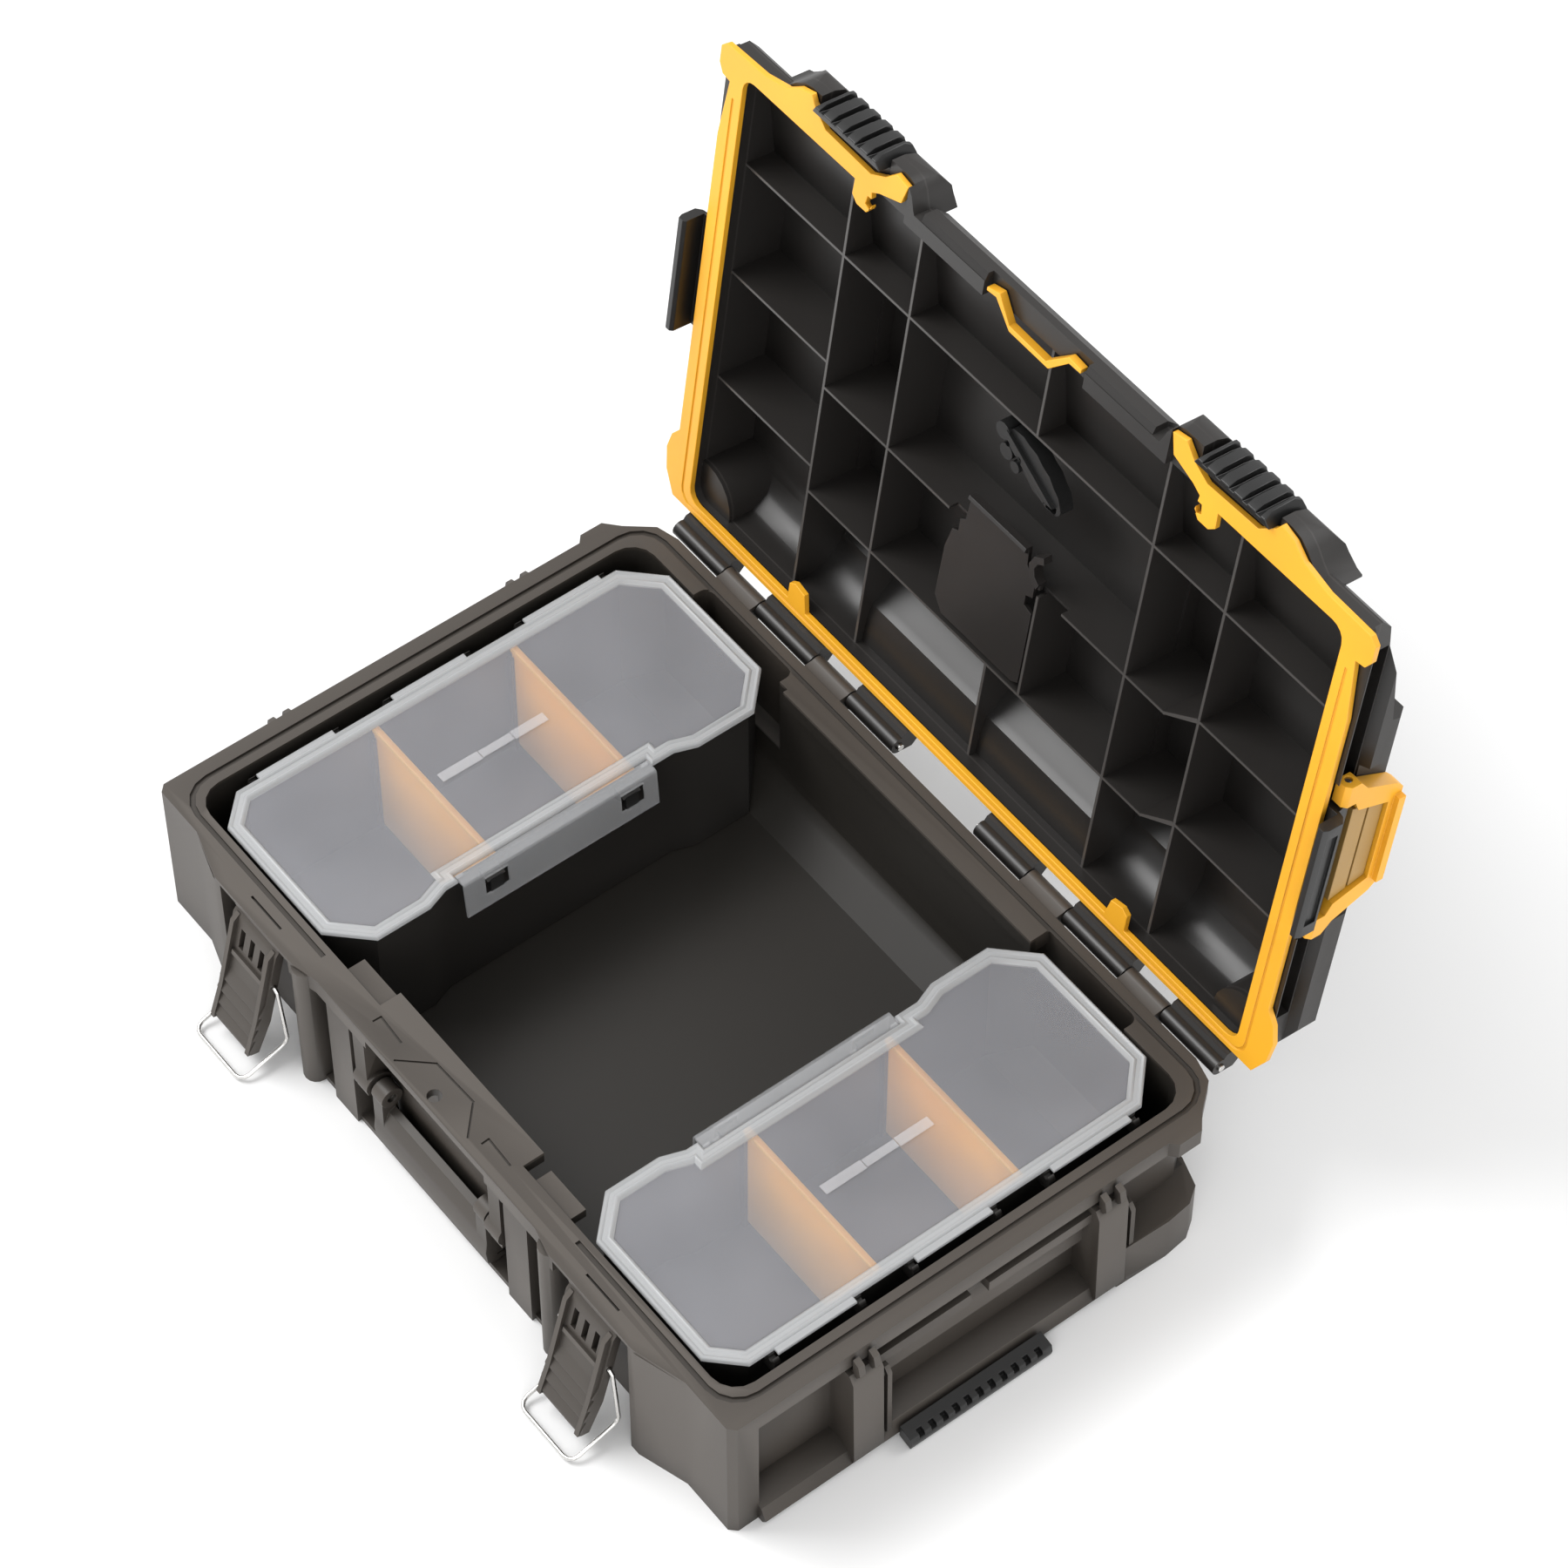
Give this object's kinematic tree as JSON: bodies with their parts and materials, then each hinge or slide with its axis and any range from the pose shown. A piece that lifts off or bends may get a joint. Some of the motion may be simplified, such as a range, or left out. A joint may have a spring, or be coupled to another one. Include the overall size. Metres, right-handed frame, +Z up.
{
  "type": "stackable tool box",
  "caption": "Wide shallow plastic tool box with a hinged ribbed lid, draw latches with wire bails, side latches, a folding front handle and lift-out organiser bins.",
  "frame": {"origin": "middle of the tub's underside", "axes": "+X to the right seen from the front, -Y towards the front with the latches, +Z up"},
  "size_m": [0.556, 0.4833, 0.4543],
  "materials": {
    "shell": "fine moulded texture, warm charcoal",
    "black": "fine moulded texture, black",
    "yellow": "satin, yellow-orange",
    "amber": "satin, tan",
    "divider": "satin, light yellow-orange",
    "frosted": "frosted, translucent",
    "steel": "smooth drawn wire and pins"
  },
  "bodies": {
    "base": {"base_tub": "shell", "side_catch_left": "black", "side_catch_right": "black", "hinge_pin_left": "steel", "hinge_pin_right": "steel", "latch_pin_left": "steel", "latch_pin_right": "steel", "handle_pin_left": "steel", "handle_pin_right": "steel"},
    "lid": {"lid_shell": "shell", "lid_seal_frame": "yellow", "lid_grip_trim": "yellow", "lid_catch_left": "black", "lid_catch_right": "black", "lid_panel": "shell", "lid_clip": "black", "side_latch_mount_left": "black", "side_latch_mount_right": "black", "side_latch_pin_left": "steel", "side_latch_pin_right": "steel"},
    "handle": {"front_handle": "shell"},
    "latch_lever_left": {"latch_lever_left": "shell"},
    "latch_bail_left": {"latch_bail_left": "steel"},
    "side_latch_left": {"side_latch_left": "yellow", "side_latch_insert_left": "amber"},
    "organiser_left": {"organiser_body_left": "black", "divider_left_front": "divider", "divider_left_back": "divider"},
    "organiser_lid_left": {"organiser_lid_left": "frosted"},
    "organiser_latch_left": {"organiser_latch_left": "frosted"},
    "latch_lever_right": {"latch_lever_right": "shell"},
    "latch_bail_right": {"latch_bail_right": "steel"},
    "side_latch_right": {"side_latch_right": "yellow", "side_latch_insert_right": "amber"},
    "organiser_right": {"organiser_body_right": "black", "divider_right_front": "divider", "divider_right_back": "divider"},
    "organiser_lid_right": {"organiser_lid_right": "frosted"},
    "organiser_latch_right": {"organiser_latch_right": "frosted"}
  },
  "joints": [
    {"name": "lid_hinge", "type": "hinge", "parent": "base", "child": "lid", "pos_m": [0, 0.173, 0.0967], "axis": [-1, 0, 0], "range_deg": [-97.6, 0]},
    {"name": "handle_hinge", "type": "hinge", "parent": "base", "child": "handle", "pos_m": [0, -0.1702, 0.05], "axis": [-1, 0, 0], "range_deg": [0, 95]},
    {"name": "lever_hinge_left", "type": "hinge", "parent": "base", "child": "latch_lever_left", "pos_m": [-0.153, -0.175, 0.0934], "axis": [-1, 0, 0], "range_deg": [-11, 72]},
    {"name": "bail_pivot_left", "type": "hinge", "parent": "latch_lever_left", "child": "latch_bail_left", "pos_m": [-0.153, -0.18403, 0.06368], "axis": [-1, 0, 0], "range_deg": [0, 150]},
    {"name": "side_latch_hinge_left", "type": "hinge", "parent": "lid", "child": "side_latch_left", "pos_m": [-0.2565, 0.21303, 0.26589], "axis": [0, 0.1323, 0.9912], "range_deg": [0, 60]},
    {"name": "organiser_lift_left", "type": "slide", "parent": "base", "child": "organiser_left", "axis": [0, 0, 1], "range_m": [0, 0.12]},
    {"name": "organiser_lid_hinge_left", "type": "hinge", "parent": "organiser_left", "child": "organiser_lid_left", "pos_m": [-0.2351, 0, 0.0964], "axis": [0, -1, 0], "range_deg": [0, 100]},
    {"name": "organiser_latch_hinge_left", "type": "hinge", "parent": "organiser_lid_left", "child": "organiser_latch_left", "pos_m": [-0.1114, 0, 0.0977], "axis": [0, -1, 0], "range_deg": [0, 90]},
    {"name": "lever_hinge_right", "type": "hinge", "parent": "base", "child": "latch_lever_right", "pos_m": [0.153, -0.175, 0.0934], "axis": [-1, 0, 0], "range_deg": [-11, 72]},
    {"name": "bail_pivot_right", "type": "hinge", "parent": "latch_lever_right", "child": "latch_bail_right", "pos_m": [0.153, -0.18403, 0.06368], "axis": [-1, 0, 0], "range_deg": [0, 150]},
    {"name": "side_latch_hinge_right", "type": "hinge", "parent": "lid", "child": "side_latch_right", "pos_m": [0.2565, 0.21303, 0.26589], "axis": [0, -0.1323, -0.9912], "range_deg": [0, 60]},
    {"name": "organiser_lift_right", "type": "slide", "parent": "base", "child": "organiser_right", "axis": [0, 0, 1], "range_m": [0, 0.12]},
    {"name": "organiser_lid_hinge_right", "type": "hinge", "parent": "organiser_right", "child": "organiser_lid_right", "pos_m": [0.2351, 0, 0.0964], "axis": [0, 1, 0], "range_deg": [0, 100]},
    {"name": "organiser_latch_hinge_right", "type": "hinge", "parent": "organiser_lid_right", "child": "organiser_latch_right", "pos_m": [0.1114, 0, 0.0977], "axis": [0, 1, 0], "range_deg": [0, 90]}
  ]
}
